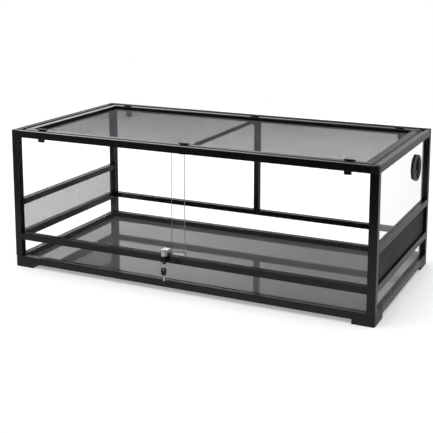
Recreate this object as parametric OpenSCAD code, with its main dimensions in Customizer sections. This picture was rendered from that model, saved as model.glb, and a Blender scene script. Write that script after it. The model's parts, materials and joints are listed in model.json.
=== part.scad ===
// Front-opening reptile terrarium: hollow plastic rails and posts plugged into
// corner blocks, glass panes let into grooves, mesh side vents, two sliding
// glass doors with a key lock, a lift-off screen lid with six turn clips and a
// cable port in the right-hand side. Millimetres, +Z up, front towards -Y.

/* [Tank] */
// Overall width of the frame, left to right
tank_w = 1219.2; // [900:0.1:1500]
// Overall depth of the frame, front to back
tank_d = 609.6; // [450:0.1:750]
// Height from the surface it stands on to the top of the frame
tank_h = 457.2; // [400:0.1:600]

/* [Frame] */
// Depth of every rail, from its outside face to its inside face
rail_t = 22; // [20:0.5:26]
// Width of a corner post, seen from the front
post_w = 25; // [22:0.5:32]
// Height of the top rails
top_h = 22; // [18:0.5:26]
// Height of the bottom rails
base_h = 23; // [21:0.5:30]
// Height of the bottom rails above the surface the tank stands on
foot_gap = 14; // [10:0.5:25]
// Length of a foot block along the front
foot_l = 67; // [50:1:90]
// Length of a foot block along the side
foot_d = 80; // [50:1:100]
// Underside of the rails above the lower panes
mid_z = 93; // [75:1:110]
// Height of those rails, and of the door track
mid_h = 22; // [18:0.5:26]
// Height of the rail across the back at that level
back_mid_h = 18; // [14:0.5:22]
// Underside of the rails above the side vents
vent_top = 205; // [170:1:230]
// Height of the rails above the side vents
vent_rail_h = 20; // [16:0.5:26]
// Width of the upright in the middle of the back
mullion_w = 18; // [16:0.5:30]
// Wall of the hollow rails
rail_wall = 2; // [1.5:0.1:2.5]
// Length of the plugs that reach into the hollow rails
plug_l = 18; // [10:1:30]
// Play round those plugs
plug_play = 0.15; // [0.1:0.05:0.3]
// Width of the ledge under the lid, which the clips catch
ledge_w = 8; // [7:0.5:8]
// Thickness of that ledge
ledge_t = 3; // [2:0.5:4]
// Width of the top rails' upper edge
rim_w = 14; // [12:0.5:16]
// Height of that edge above the step that carries the lid
rim_h = 9; // [7:0.5:10]

/* [Glass] */
// Thickness of every pane and door
glass_t = 4; // [3:0.5:5]
// Depth of the grooves that hold the fixed panes
groove_d = 6; // [4:0.5:6]
// Depth of the grooves that the doors run in
door_groove_d = 8; // [6:0.5:8]
// Play between a fixed pane and its groove, on every side
pane_play = 0.2; // [0.1:0.05:0.4]
// Play between a door and its groove, front and back
door_play = 0.4; // [0.3:0.05:0.5]
// Middle of the outer door, behind the front face
outer_inset = 6.5; // [6:0.1:7]
// Middle of the inner door and of the pane below it, behind the front face
inner_inset = 15.5; // [15:0.1:16]
// Middle of the side and back panes, inside the outer face
pane_inset = 11; // [9:0.5:13]
// How far the doors overlap when closed
door_lap = 40; // [20:1:80]
// Middle of the overlap, right of the tank's middle
lap_x = -7; // [-60:1:60]
// Width of the stop in the middle of the track's face
stop_w = 18; // [10:1:30]
// Height of that stop
stop_h = 12; // [8:0.5:16]
// Thickness of that stop
stop_t = 2.5; // [1.5:0.5:3]
// Height of the stop's lower edge above the track's
stop_rise = 1; // [0.5:0.5:4]

/* [Floor and mesh] */
// Thickness of the floor panel
floor_t = 4; // [3:0.5:6]
// Thickness of the flange that carries the floor panel
flange_t = 2; // [1.5:0.5:3]
// Width of that flange
flange_w = 8; // [5:0.5:12]
// Thickness of the woven mesh
mesh_t = 0.8; // [0.5:0.1:1.2]
// How far the mesh is let into its frame
mesh_bite = 4; // [2:0.5:5]

/* [Lid] */
// Gap between the lid and the top rails
lid_gap = 1; // [0.5:0.1:2]
// Width of the lid's low outer flange
lid_flange_w = 13; // [10:0.5:16]
// Thickness of that flange
lid_flange_t = 3; // [2:0.5:4]
// Width of the lid's raised bar
lid_bar_w = 22; // [20:0.5:30]
// How far the top of the lid lies below the top of the rails
lid_drop = 1; // [0:0.5:3]
// Outer wall of the lid's hollow bars
lid_wall = 3; // [2:0.5:3]
// Inner wall of those bars, which grips the mesh
lid_grip_wall = 6; // [6:0.5:8]
// Width of the brace under the mesh
brace_w = 20; // [12:1:30]
// Height of that brace
brace_h = 5; // [3:0.5:6]
// Play under the lid and between other moving flat faces
seat_play = 0.3; // [0.2:0.05:0.5]

/* [Lid clips] */
// Distance of the outer clips from the side faces
clip_end = 94.6; // [80:0.1:200]
// Distance of every clip from the front or back face
clip_inset = 38; // [38:0.5:39]
// Radius of a clip's shaft
clip_r = 4; // [3:0.5:4.5]
// Radius of the disc under a clip's grip
clip_disc_r = 10; // [8:0.5:11]
// Thickness of that disc
clip_disc_t = 2; // [1.5:0.5:3]
// Length of a clip's grip
clip_grip_l = 44; // [30:1:50]
// Width of a clip's grip
clip_grip_w = 9; // [6:0.5:12]
// Height of a clip's grip
clip_grip_h = 4; // [3:0.5:8]
// Gap between the tip of a turned tab and the post behind it
clip_play = 0.5; // [0.3:0.1:1.5]
// Length of the tab on the other side of the shaft
clip_tail = 5.5; // [4:0.5:8]
// Thickness of the tab
clip_tab_t = 8; // [5:0.5:10]
// Height of the tab
clip_tab_h = 17; // [10:0.5:20]
// Gap between the ledge and the tab turned under it
clip_gap = 0.7; // [0.5:0.1:1.5]
// Width of the collar round the shaft, under the lid
clip_collar = 2.5; // [1.5:0.5:2.5]
// Radial play of shafts and pivots in their bores
pivot_play = 0.05; // [0.02:0.01:0.1]

/* [Lock] */
// Middle of the lock, right of the tank's middle
lock_x = -46; // [-60:1:-38]
// Middle of the lock's barrel in front of the tank's face
lock_reach = 13; // [12:0.5:18]
// Radius of the lock's barrel
barrel_r = 7.5; // [7:0.5:9]
// Length of the lock's barrel
barrel_l = 20; // [18:0.5:26]
// Underside of the barrel above the door track
barrel_rise = 3; // [2:0.5:6]
// Width of the block that slides on the toothed bar
case_w = 20; // [16:0.5:24]
// Height of the toothed bar
bar_h = 13; // [9:0.5:14]
// Thickness of the toothed bar
bar_t = 1.6; // [1.2:0.1:1.8]
// Underside of the toothed bar above the door track
bar_rise = 4.5; // [4:0.5:8]
// Length of the toothed bar left of the inner door's edge
bar_l = 71; // [68:1:130]
// Distance between the bar's teeth
tooth_pitch = 4; // [3:0.5:6]
// Depth of the bar's teeth
tooth_d = 1.6; // [1:0.1:2]
// Part of each tooth that its slope takes
tooth_slope = 0.7; // [0.5:0.05:0.9]
// Gap between the outer door and the bar
bar_gap = 0.9; // [0.7:0.1:1]
// Length of the hook behind the inner door
hook_l = 15; // [10:1:25]
// Thickness of the hook
hook_t = 2; // [1.5:0.1:2.5]
// Gap between the hook and the door
hook_play = 0.1; // [0.05:0.05:0.3]
// How far the block's face lies behind the middle of the barrel
case_inset = 2.5; // [1:0.5:4]
// Wall of the block behind the bar
case_back = 1.5; // [1:0.1:1.7]
// Wall of the block above and below the bar
case_wall = 2.8; // [2:0.1:3]
// Play of the bar in the block and of the key in its slot
slot_play = 0.2; // [0.1:0.05:0.3]
// Radius of the turning plug in the barrel
plug_r = 5; // [4.5:0.1:5.5]
// Thickness of the barrel's closed end
barrel_end = 4; // [3:0.5:6]
// Depth of the turning plug past the end of the key in it
plug_floor = 2; // [1:0.5:3]

/* [Keys] */
// Width of a key's head
key_w = 20; // [16:0.5:22]
// Height of a key's head
key_h = 20; // [16:0.5:24]
// Thickness of a key's head
key_t = 2.4; // [2:0.1:3]
// Length of a key's blade
blade_l = 23; // [18:0.5:24]
// Width of a key's blade
blade_w = 6.5; // [5:0.5:7]
// Thickness of a key's blade
blade_t = 1.8; // [1.4:0.1:2]
// Radius of the hole in a key's head
key_hole_r = 4; // [3.5:0.1:4.5]
// Material between that hole and the end of the head
key_rim = 2.5; // [1.5:0.1:3]
// Length of the sloping corners of a key's head
key_corner = 4; // [2:0.5:5]
// Length of a blade's tapered tip
key_tip = 3; // [2:0.5:4]
// Width of that tip's end
key_tip_w = 1; // [0.5:0.1:2]
// Drop from the barrel to the head of the key in it
key_drop = 6; // [4:0.5:8]
// Radius of the key ring, to the middle of its wire
ring_r = 10; // [9:0.5:11]
// Radius of the key ring's wire
ring_wire_r = 0.9; // [0.6:0.1:1]
// Gap between that wire and the ends of the keys' holes
ring_play = 0.8; // [0.6:0.1:1.2]
// Turn of the key ring from the line through the keys' holes
ring_turn = 30; // [20:1:35]

/* [Cable port] */
// Distance of the port's middle from the back face
port_back = 152.8; // [120:0.1:260]
// Distance of the port's middle below the top of the frame
port_drop = 99.2; // [75:0.1:120]
// Outer radius of the port
port_r = 42; // [36:0.5:46]
// Radius of the port's bore
port_bore_r = 33; // [26:0.5:34]
// Wall of the port's threaded tube
port_tube_wall = 2.5; // [2:0.5:3]
// Thickness of the port's outer flange
port_flange_t = 4; // [3.5:0.5:5]
// Thickness of the port's cover
cover_t = 2; // [1.5:0.5:2.5]
// Width of the rebate round the bore that holds the cover
cover_lip = 4; // [2:0.5:5]
// Depth of the cover's skirt in the bore
skirt_d = 6; // [4:0.5:8]
// Width of the cable slot in the cover
slot_w = 15; // [8:1:20]
// Depth of the cable slot in from the skirt
slot_d = 17; // [10:1:20]
// Width of the cover's raised grip
port_grip_w = 8; // [6:0.5:12]
// Gap between that grip and the cable slot
port_grip_gap = 6; // [3:0.5:12]
// Thickness of the nut inside the glass
port_nut_t = 7; // [5:0.5:9]

/* [Screws] */
// Distance of the corner screws from the outside faces
screw_inset = 7; // [6:0.5:7.5]
// Radius of the corner screws
screw_r = 2; // [1.5:0.1:2.2]
// Radius of the corner screws' heads
screw_head_r = 4; // [3.5:0.1:4.5]
// Depth of the corner screws' countersunk heads
screw_head_h = 2.5; // [2:0.1:3]
// Length of the corner screws inside the posts
screw_bite = 20; // [12:1:30]

/* [Hidden] */
$fn = 48;
eps = 0.01;

frame_black = [0.07, 0.07, 0.075];
glass_tint = [0.75, 0.85, 0.82, 0.35];
mesh_grey = [0.35, 0.35, 0.36];
bright_metal = [0.8, 0.8, 0.82];

// The origin is below the middle of the whole part, so the reach of the lock
// and its key ring in front of the tank moves the tank back by half of it.
lock_proud = lock_reach + max(barrel_r, ring_r*cos(ring_turn) + ring_wire_r);
half_w = tank_w/2;
y_front = -(tank_d - lock_proud)/2;
y_back = y_front + tank_d;

// Inside faces of the posts and rails
post_x = half_w - post_w;
rail_x = half_w - rail_t;
y_in_f = y_front + rail_t;
y_in_b = y_back - rail_t;

// Levels
base_top = foot_gap + base_h;
mid_top = mid_z + mid_h;
back_mid_z = mid_top - back_mid_h;
vent_rail_top = vent_top + vent_rail_h;
top_z = tank_h - top_h;

// Middle planes of the panes
outer_y = y_front + outer_inset;
inner_y = y_front + inner_inset;
side_x = half_w - pane_inset;
back_y = y_back - pane_inset;

// How far the panes and doors reach into their grooves
bite = groove_d - 2*pane_play;
door_bite = door_groove_d - 2*pane_play;
inner_edge = lap_x + door_lap/2;
outer_edge = lap_x - door_lap/2;

// Hollows of the bottom rails and of the top rails
base_hollow = [foot_gap + rail_wall, base_top - groove_d - rail_wall];
top_hollow = [top_z + door_groove_d + rail_wall, tank_h - rail_wall];
rim_z = tank_h - rim_h;

// Lid
lid_z = top_z + ledge_t + seat_play;
lid_top = tank_h - lid_drop;
lid_flange_z = rim_z + seat_play;
lid_x = half_w - rim_w - lid_gap;
lid_y_f = y_front + rim_w + lid_gap;
lid_y_b = y_back - rim_w - lid_gap;
lid_hollow = [lid_z + lid_flange_t, lid_top - lid_wall];
bar_in = lid_flange_w + lid_bar_w;
mesh_z = lid_z + brace_h;
mesh_cut = mesh_t + 2*pane_play;

// Clips
clip_x = half_w - clip_end;
clip_tab_z = top_z - clip_gap - clip_tab_h;
clip_disc_z = lid_top + seat_play;
clip_collar_r = clip_r + clip_collar;
// The corner of a turning tab just clears the post
clip_reach = sqrt(pow(clip_inset - rail_t - clip_play, 2) - pow(clip_tab_t/2, 2));

// Lock, bar and keys
lock_y = y_front - lock_reach;
barrel_z = mid_top + barrel_rise;
bar_z = mid_top + bar_rise;
case_z = bar_z - case_wall;
bar_y = outer_y + glass_t/2 + bar_gap;
bar_end = inner_edge - bar_l;
lock_plug_l = barrel_l - barrel_end;
key_end_z = barrel_z + lock_plug_l - plug_floor;
key_z = barrel_z - key_drop - key_h;
key_hole_z = key_rim + key_hole_r;
ring_top = key_z + key_rim + ring_wire_r + ring_play;
ring_z = ring_top - ring_r;
spare_z = ring_z - ring_r + ring_wire_r + ring_play + key_rim - key_h;

// Cable port
port_y = y_back - port_back;
port_z = tank_h - port_drop;
port_tube_r = port_bore_r + port_tube_wall;
port_face = side_x + glass_t/2;
port_inner = side_x - glass_t/2;
cover_r = port_bore_r + cover_lip;
cover_x = port_face + port_flange_t - cover_t;

// A block between two opposite corners
module block(low, high) translate(low) cube(high - low);

// The same thing on the left (side = -1) or on the right (side = 1)
module on_side(side) mirror([side < 0 ? 1 : 0, 0, 0]) children();

// ---- Panes, and the grooves cut for them (grow = play all round) ----

module front_lower_pane(grow = 0)
    block([-post_x - bite - grow, inner_y - glass_t/2 - grow, base_top - bite - grow],
        [post_x + bite + grow, inner_y + glass_t/2 + grow, mid_z + bite + grow]);

module back_lower_pane(grow = 0)
    block([-post_x - bite - grow, back_y - glass_t/2 - grow, base_top - bite - grow],
        [post_x + bite + grow, back_y + glass_t/2 + grow, back_mid_z + bite + grow]);

module back_pane(side, grow = 0)
    on_side(side) block([mullion_w/2 - bite - grow, back_y - glass_t/2 - grow, mid_top - bite - grow],
        [post_x + bite + grow, back_y + glass_t/2 + grow, top_z + bite + grow]);

module side_pane(side, low, high, thick, grow = 0)
    on_side(side) block([side_x - thick/2 - grow, y_in_f - bite - grow, low - bite - grow],
        [side_x + thick/2 + grow, y_in_b + bite + grow, high + bite + grow]);

module door_groove(y)
    block([-post_x - groove_d, y - glass_t/2 - door_play, mid_top - door_groove_d],
        [post_x + groove_d, y + glass_t/2 + door_play, top_z + door_groove_d]);

module grooves() {
    front_lower_pane(pane_play);
    back_lower_pane(pane_play);
    door_groove(outer_y);
    door_groove(inner_y);
    for (side = [-1, 1]) {
        back_pane(side, pane_play);
        side_pane(side, base_top, mid_z, glass_t, pane_play);
        side_pane(side, mid_top, vent_top, mesh_t, pane_play);
        side_pane(side, vent_rail_top, top_z, glass_t, pane_play);
    }
}

// ---- Frame ----

// Corner (sx, sy): -1 is left or front, 1 is right or back
function corner_x(sx, in) = sx*(half_w - in);
function corner_y(sy, in) = sy < 0 ? y_front + in : y_back - in;
function sorted(a, b) = [min(a, b), max(a, b)];

// A block at a corner, from the outside faces in to dx and dy
module corner_block(sx, sy, dx, dy, low, high) {
    x = sorted(corner_x(sx, 0), corner_x(sx, dx));
    y = sorted(corner_y(sy, 0), corner_y(sy, dy));
    block([x[0], y[0], low], [x[1], y[1], high]);
}

// Plugs from a corner block into the hollow rails along X and along Y, which are
// wide where they are hollow
module corner_plugs(sx, sy, dx, dy, wide, hollow) {
    near = rail_wall + plug_play;
    far = wide - rail_wall - plug_play;
    x1 = sorted(corner_x(sx, dx - eps), corner_x(sx, dx + plug_l));
    y1 = sorted(corner_y(sy, near), corner_y(sy, far));
    x2 = sorted(corner_x(sx, near), corner_x(sx, far));
    y2 = sorted(corner_y(sy, dy - eps), corner_y(sy, dy + plug_l));
    block([x1[0], y1[0], hollow[0] + plug_play], [x1[1], y1[1], hollow[1] - plug_play]);
    block([x2[0], y2[0], hollow[0] + plug_play], [x2[1], y2[1], hollow[1] - plug_play]);
}

module at_screw(sx, sy, z)
    translate([corner_x(sx, screw_inset), corner_y(sy, screw_inset), z]) children();

// A countersunk screw pointing up from z = 0, or the hole for it
module screw_shape(length, play = 0) {
    cylinder(h = length + play, r = screw_r + play);
    cylinder(h = screw_head_h, r1 = screw_head_r + play, r2 = screw_r + play);
}

module corner_screw_pair(sx, sy, play = 0) {
    at_screw(sx, sy, foot_gap/2) {
        screw_shape(base_top + screw_bite - foot_gap/2, play);
        if (play > 0) translate([0, 0, -foot_gap]) cylinder(h = foot_gap + eps, r = screw_head_r + play);
    }
    at_screw(sx, sy, tank_h) mirror([0, 0, 1]) {
        screw_shape(top_h + screw_bite, play);
        if (play > 0) translate([0, 0, -1]) cylinder(h = 1 + eps, r = screw_head_r + play);
    }
}

module post(sx, sy)
    color(frame_black) difference() {
        corner_block(sx, sy, post_w, rail_t, base_top, top_z);
        grooves();
        corner_screw_pair(sx, sy, pivot_play);
    }

module foot(sx, sy)
    color(frame_black) difference() {
        union() {
            corner_block(sx, sy, foot_l, foot_d, 0, foot_gap + flange_t);
            corner_block(sx, sy, foot_l, rail_t, foot_gap, base_top);
            corner_block(sx, sy, rail_t, foot_d, foot_gap, base_top);
            corner_plugs(sx, sy, foot_l, foot_d, rail_t, base_hollow);
        }
        grooves();
        corner_screw_pair(sx, sy, pivot_play);
    }

// The room for the lid, down to the step behind the top rails' upper edge
module lid_recess()
    block([rim_w - half_w, y_front + rim_w, rim_z], [half_w - rim_w, y_back - rim_w, tank_h + 1]);

module top_corner(sx, sy)
    difference() {
        union() {
            corner_block(sx, sy, post_w, rail_t, top_z, tank_h);
            corner_plugs(sx, sy, post_w, rail_t, rim_w, top_hollow);
        }
        lid_recess();
        grooves();
        corner_screw_pair(sx, sy, pivot_play);
    }

module top_corners()
    color(frame_black) for (sx = [-1, 1], sy = [-1, 1]) top_corner(sx, sy);

module corner_screws()
    color(bright_metal) for (sx = [-1, 1], sy = [-1, 1]) corner_screw_pair(sx, sy);

// Bottom rail along X, front (sy = -1) or back (sy = 1)
module base_rail_x(sy) {
    x = half_w - foot_l;
    y = sorted(corner_y(sy, 0), corner_y(sy, rail_t));
    h = sorted(corner_y(sy, rail_wall), corner_y(sy, rail_t - rail_wall));
    f = sorted(corner_y(sy, rail_t - eps), corner_y(sy, rail_t + flange_w));
    color(frame_black) difference() {
        union() {
            block([-x, y[0], foot_gap], [x, y[1], base_top]);
            block([-x, f[0], foot_gap], [x, f[1], foot_gap + flange_t]);
        }
        block([-x - 1, h[0], base_hollow[0]], [x + 1, h[1], base_hollow[1]]);
        grooves();
    }
}

// Bottom rail along Y, left (side = -1) or right (side = 1)
module base_rail_y(side)
    color(frame_black) difference() {
        on_side(side) difference() {
            union() {
                block([rail_x, y_front + foot_d, foot_gap], [half_w, y_back - foot_d, base_top]);
                block([rail_x - flange_w, y_front + foot_d, foot_gap],
                    [rail_x + eps, y_back - foot_d, foot_gap + flange_t]);
            }
            block([rail_x + rail_wall, y_front, base_hollow[0]],
                [half_w - rail_wall, y_back, base_hollow[1]]);
        }
        grooves();
    }

// Top rail along X with its step and its ledge for the lid
module top_rail_x(sy) {
    y = sorted(corner_y(sy, 0), corner_y(sy, rail_t));
    h = sorted(corner_y(sy, rail_wall), corner_y(sy, rim_w - rail_wall));
    f = sorted(corner_y(sy, rail_t - eps), corner_y(sy, rail_t + ledge_w));
    color(frame_black) difference() {
        union() {
            block([-post_x, y[0], top_z], [post_x, y[1], tank_h]);
            block([ledge_w - rail_x, f[0], top_z], [rail_x - ledge_w, f[1], top_z + ledge_t]);
        }
        block([-post_x - 1, h[0], top_hollow[0]], [post_x + 1, h[1], top_hollow[1]]);
        lid_recess();
        grooves();
    }
}

// Top rail along Y with its step and its ledge for the lid
module top_rail_y(side)
    color(frame_black) difference() {
        on_side(side) difference() {
            union() {
                block([rail_x, y_in_f, top_z], [half_w, y_in_b, tank_h]);
                block([rail_x - ledge_w, y_in_f, top_z], [rail_x + eps, y_in_b, top_z + ledge_t]);
            }
            block([half_w - rim_w + rail_wall, y_front, top_hollow[0]],
                [half_w - rail_wall, y_back, top_hollow[1]]);
        }
        lid_recess();
        grooves();
    }

module door_track()
    color(frame_black) difference() {
        block([-post_x, y_front, mid_z], [post_x, y_in_f, mid_top]);
        grooves();
    }

module track_stop()
    color(frame_black) block([lap_x - stop_w/2, y_front - stop_t, mid_z + stop_rise],
        [lap_x + stop_w/2, y_front, mid_z + stop_rise + stop_h]);

module back_mid_rail()
    color(frame_black) difference() {
        block([-post_x, y_in_b, back_mid_z], [post_x, y_back, mid_top]);
        grooves();
    }

module back_centre_post()
    color(frame_black) difference() {
        block([-mullion_w/2, y_in_b, mid_top], [mullion_w/2, y_back, top_z]);
        grooves();
    }

// Side rail between the posts
module side_rail(side, low, high)
    color(frame_black) difference() {
        on_side(side) block([rail_x, y_in_f, low], [half_w, y_in_b, high]);
        grooves();
    }

module floor_panel() {
    x = rail_x - seat_play;
    z = foot_gap + flange_t;
    color(frame_black)
        block([-x, y_in_f + seat_play, z], [x, y_in_b - seat_play, z + floor_t]);
}

// ---- Glass and vents ----

module front_lower_glass() color(glass_tint) front_lower_pane();
module back_lower_glass() color(glass_tint) back_lower_pane();
module back_glass(side) color(glass_tint) back_pane(side);
module side_lower_glass(side) color(glass_tint) side_pane(side, base_top, mid_z, glass_t);
module side_glass_left() color(glass_tint) side_pane(-1, vent_rail_top, top_z, glass_t);

module side_glass_right()
    color(glass_tint) difference() {
        side_pane(1, vent_rail_top, top_z, glass_t);
        along_port(port_inner - 1) cylinder(h = glass_t + 2, r = port_tube_r + pane_play);
    }

module vent_mesh(side) color(mesh_grey) side_pane(side, mid_top, vent_top, mesh_t);

// ---- Cable port ----

// Turns Z into X on the port's middle line, starting at x
module along_port(x) translate([x, port_y, port_z]) rotate([0, 90, 0]) children();

module port_flange()
    color(frame_black) difference() {
        union() {
            along_port(port_face) cylinder(h = port_flange_t, r = port_r);
            along_port(port_inner - port_nut_t) cylinder(h = glass_t + port_nut_t + eps, r = port_tube_r);
        }
        along_port(port_inner - port_nut_t - 1)
            cylinder(h = glass_t + port_nut_t + port_flange_t + 2, r = port_bore_r);
        along_port(cover_x - seat_play) cylinder(h = cover_t + 1, r = cover_r);
    }

module port_nut()
    color(frame_black) difference() {
        along_port(port_inner - port_nut_t) cylinder(h = port_nut_t, r = port_r, $fn = 8);
        along_port(port_inner - port_nut_t - 1) cylinder(h = port_nut_t + 2, r = port_tube_r + pivot_play);
    }

module port_cover()
    color(frame_black) difference() {
        union() {
            along_port(cover_x) cylinder(h = cover_t, r = cover_r - pivot_play);
            along_port(cover_x - skirt_d) cylinder(h = skirt_d + eps, r = port_bore_r - pivot_play);
            along_port(cover_x) translate([-port_bore_r, -port_grip_w/2, 0])
                cube([2*port_bore_r - slot_d - port_grip_gap, port_grip_w, half_w - cover_x]);
        }
        along_port(cover_x - skirt_d - 1) cylinder(h = skirt_d - 1, r = port_bore_r - port_tube_wall);
        along_port(cover_x - skirt_d - 1) translate([port_bore_r - slot_d, -slot_w/2, 0])
            cube([slot_d + cover_lip, slot_w, skirt_d + cover_t + 2]);
    }

// ---- Doors and lock ----

module door_pane(x0, x1, y)
    block([x0, y - glass_t/2, mid_top - door_bite], [x1, y + glass_t/2, top_z + door_bite]);

module door_glass_left() color(glass_tint) door_pane(-post_x - bite, inner_edge, inner_y);
module door_glass_right() color(glass_tint) door_pane(outer_edge, post_x + bite, outer_y);

// Toothed bar in the gap between the doors, hooked round the inner door's edge
module lock_bar() {
    teeth = floor(bar_l/tooth_pitch) - 2;
    hook_x = inner_edge + hook_play;
    hook_y = inner_y + glass_t/2 + hook_play;
    color(bright_metal) {
        difference() {
            block([bar_end, bar_y, bar_z], [hook_x + hook_t, bar_y + bar_t, bar_z + bar_h]);
            for (i = [0:teeth - 1])
                translate([bar_end + (i + 1)*tooth_pitch, bar_y - 1, bar_z + bar_h])
                    rotate([-90, 0, 0]) linear_extrude(bar_t + 2)
                        polygon([[0, -1], [tooth_slope*tooth_pitch, 0], [0, tooth_d]]);
        }
        block([hook_x, bar_y, bar_z], [hook_x + hook_t, hook_y + hook_t, bar_z + bar_h]);
        block([hook_x - hook_l, hook_y, bar_z], [hook_x + hook_t, hook_y + hook_t, bar_z + bar_h]);
    }
}

// Block that slides on the toothed bar, with the key barrel in front
module lock_case() {
    back = bar_y + bar_t + slot_play + case_back;
    color(bright_metal) difference() {
        union() {
            block([lock_x - case_w/2, lock_y + case_inset, case_z],
                [lock_x + case_w/2, back, bar_z + bar_h + case_wall]);
            translate([lock_x, lock_y, barrel_z]) cylinder(h = barrel_l, r = barrel_r);
        }
        block([lock_x - case_w, bar_y - slot_play, bar_z - slot_play],
            [lock_x + case_w, bar_y + bar_t + slot_play, bar_z + bar_h + slot_play]);
        translate([lock_x, lock_y, case_z - 1])
            cylinder(h = barrel_z - case_z + 1 + lock_plug_l + seat_play, r = plug_r + pivot_play);
    }
}

module lock_plug()
    color(bright_metal) difference() {
        translate([lock_x, lock_y, barrel_z]) cylinder(h = lock_plug_l, r = plug_r);
        block([lock_x - blade_w/2 - slot_play, lock_y - blade_t/2 - slot_play, barrel_z - 1],
            [lock_x + blade_w/2 + slot_play, lock_y + blade_t/2 + slot_play, key_end_z + slot_play]);
    }

// A key with its head's lower end at z = 0, in the plane y = 0
module key_shape() {
    difference() {
        rotate([90, 0, 0]) translate([0, 0, -key_t/2]) linear_extrude(key_t)
            polygon([[key_corner - key_w/2, 0], [key_w/2 - key_corner, 0], [key_w/2, key_corner],
                [key_w/2, key_h - key_corner], [key_w/2 - key_corner, key_h],
                [key_corner - key_w/2, key_h], [-key_w/2, key_h - key_corner], [-key_w/2, key_corner]]);
        translate([0, -key_t, key_hole_z]) rotate([-90, 0, 0]) cylinder(h = 2*key_t, r = key_hole_r);
    }
    tip_z = key_h + blade_l - key_tip;
    block([-blade_w/2, -blade_t/2, key_h - eps], [blade_w/2, blade_t/2, tip_z]);
    translate([0, 0, tip_z - eps]) rotate([90, 0, 0]) translate([0, 0, -blade_t/2])
        linear_extrude(blade_t)
            polygon([[-blade_w/2, 0], [blade_w/2, 0], [key_tip_w/2, key_tip], [-key_tip_w/2, key_tip]]);
}

module key()
    color(bright_metal) intersection() {
        translate([lock_x, lock_y, key_z]) key_shape();
        block([lock_x - key_w, lock_y - key_w, 0],
            [lock_x + key_w, lock_y + key_w, key_end_z]);
    }

module spare_key()
    color(bright_metal) translate([lock_x, lock_y, spare_z + key_h]) mirror([0, 0, 1]) key_shape();

module key_ring()
    color(bright_metal) translate([lock_x, lock_y, ring_z]) rotate([0, 0, 90 - ring_turn])
        rotate([90, 0, 0]) rotate_extrude() translate([ring_r, 0]) circle(r = ring_wire_r);

// ---- Lid ----

// One bar of the lid, lying along X from x0 to x1, with the edge of its flange at
// y = 0. The flange is longer by over at each end, and the hollow and the mesh's
// groove start at cap from the bar's ends.
module lid_bar(x0, x1, over, cap)
    difference() {
        union() {
            block([x0 - over, 0, lid_flange_z], [x1 + over, lid_flange_w, lid_flange_z + lid_flange_t]);
            block([x0, 0, lid_flange_z], [x1, lid_flange_w + lid_wall, lid_flange_z + lid_flange_t]);
            block([x0, lid_flange_w, lid_z], [x1, bar_in, lid_top]);
        }
        block([x0 + cap, lid_flange_w + lid_wall, lid_hollow[0]],
            [x1 - cap, bar_in - lid_grip_wall, lid_hollow[1]]);
        block([x0 + cap, bar_in - mesh_bite, mesh_z - pane_play],
            [x1 - cap, bar_in + 1, mesh_z - pane_play + mesh_cut]);
    }

module clip_bores(sy)
    for (x = [-clip_x, 0, clip_x])
        translate([x, corner_y(sy, clip_inset), lid_z - 1])
            cylinder(h = lid_top - lid_z + 2, r = clip_r + pivot_play);

module lid_bar_x(sy) {
    end = lid_x - lid_flange_w;
    color(frame_black) difference() {
        translate([0, sy < 0 ? lid_y_f : lid_y_b, 0]) mirror([0, sy < 0 ? 0 : 1, 0])
            lid_bar(-end, end, lid_flange_w, lid_wall);
        clip_bores(sy);
    }
}

module lid_bar_y(side)
    color(frame_black) on_side(side) translate([lid_x, 0, 0]) rotate([0, 0, 90])
        lid_bar(lid_y_f + bar_in, lid_y_b - bar_in, lid_bar_w, -1);

module lid_brace()
    color(frame_black) block([-brace_w/2, lid_y_f + bar_in, lid_z],
        [brace_w/2, lid_y_b - bar_in, mesh_z]);

module lid_mesh() {
    in = bar_in - mesh_bite + pane_play;
    color(mesh_grey) block([in - lid_x, lid_y_f + in, mesh_z], [lid_x - in, lid_y_b - in, mesh_z + mesh_t]);
}

// Turn clip: grip and disc on top of the lid, shaft through it, tab below.
// Front clips point their tab left and back clips right when open.
module clip(x, sy) {
    tab_top = clip_tab_z + clip_tab_h;
    color(frame_black) translate([x, corner_y(sy, clip_inset), 0]) rotate([0, 0, sy < 0 ? 0 : 180]) {
        translate([0, 0, tab_top - eps]) cylinder(h = clip_disc_z - tab_top + 2*eps, r = clip_r);
        translate([0, 0, tab_top - eps])
            cylinder(h = lid_z - seat_play - tab_top + eps, r = clip_collar_r);
        translate([0, 0, clip_disc_z]) cylinder(h = clip_disc_t, r = clip_disc_r);
        translate([-clip_grip_l/2, -clip_grip_w/2, clip_disc_z + clip_disc_t - eps])
            cube([clip_grip_l, clip_grip_w, clip_grip_h]);
        translate([-clip_reach, -clip_tab_t/2, clip_tab_z])
            cube([clip_reach + clip_tail, clip_tab_t, clip_tab_h]);
    }
}

post(-1, -1);  // post_front_left
post(1, -1);  // post_front_right
post(-1, 1);  // post_back_left
post(1, 1);  // post_back_right
foot(-1, -1);  // foot_front_left
foot(1, -1);  // foot_front_right
foot(-1, 1);  // foot_back_left
foot(1, 1);  // foot_back_right
base_rail_x(-1);  // base_rail_front
base_rail_x(1);  // base_rail_back
base_rail_y(-1);  // base_rail_left
base_rail_y(1);  // base_rail_right
top_rail_x(-1);  // top_rail_front
top_rail_x(1);  // top_rail_back
top_rail_y(-1);  // top_rail_left
top_rail_y(1);  // top_rail_right
top_corners();
corner_screws();
door_track();
track_stop();
back_mid_rail();
back_centre_post();
side_rail(-1, mid_z, mid_top);  // side_lower_rail_left
side_rail(1, mid_z, mid_top);  // side_lower_rail_right
side_rail(-1, vent_top, vent_rail_top);  // side_upper_rail_left
side_rail(1, vent_top, vent_rail_top);  // side_upper_rail_right
floor_panel();
front_lower_glass();
back_lower_glass();
back_glass(-1);  // back_glass_left
back_glass(1);  // back_glass_right
side_lower_glass(-1);  // side_lower_glass_left
side_lower_glass(1);  // side_lower_glass_right
side_glass_left();
side_glass_right();
vent_mesh(-1);  // vent_mesh_left
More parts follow.
